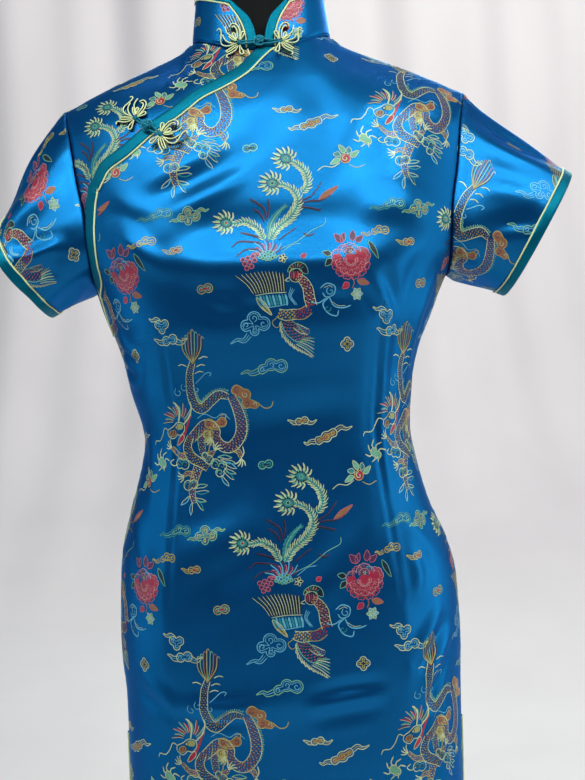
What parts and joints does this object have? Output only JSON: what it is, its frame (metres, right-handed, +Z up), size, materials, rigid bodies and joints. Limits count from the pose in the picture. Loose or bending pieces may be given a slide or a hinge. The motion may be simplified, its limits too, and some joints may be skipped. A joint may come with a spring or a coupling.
{
  "type": "cheongsam dress on a limbless dress form",
  "caption": "Short-sleeved brocade cheongsam with stand collar, slanted frog-fastened opening and side slits, on a limbless form with pole and round base.",
  "frame": {"origin": "centre of the round base's underside, on the floor", "axes": "+Z up, +X towards the wearer's left, -Y out of the dress's front"},
  "size_m": [0.5674, 0.35, 1.52],
  "materials": {
    "brocade": "glossy blue satin brocade",
    "binding": "teal satin",
    "form": "matt black jersey cover",
    "stand": "satin black"
  },
  "bodies": {
    "root": {"front_panel": "brocade", "under_flap": "brocade", "back_panel": "brocade", "sleeve_right": "brocade", "sleeve_left": "brocade", "collar": "brocade", "collar_binding": "binding", "opening_binding": "binding", "cuff_binding_right": "binding", "cuff_binding_left": "binding", "front_hem_binding": "binding", "back_hem_binding": "binding", "neck_frog_right": "binding", "neck_frog_left": "binding", "neck_knot": "binding", "opening_frog_upper": "binding", "opening_frog_lower": "binding", "opening_knot": "binding", "dress_form": "form", "pole_plate": "stand", "pole": "stand", "stand_base": "stand"}
  },
  "joints": []
}
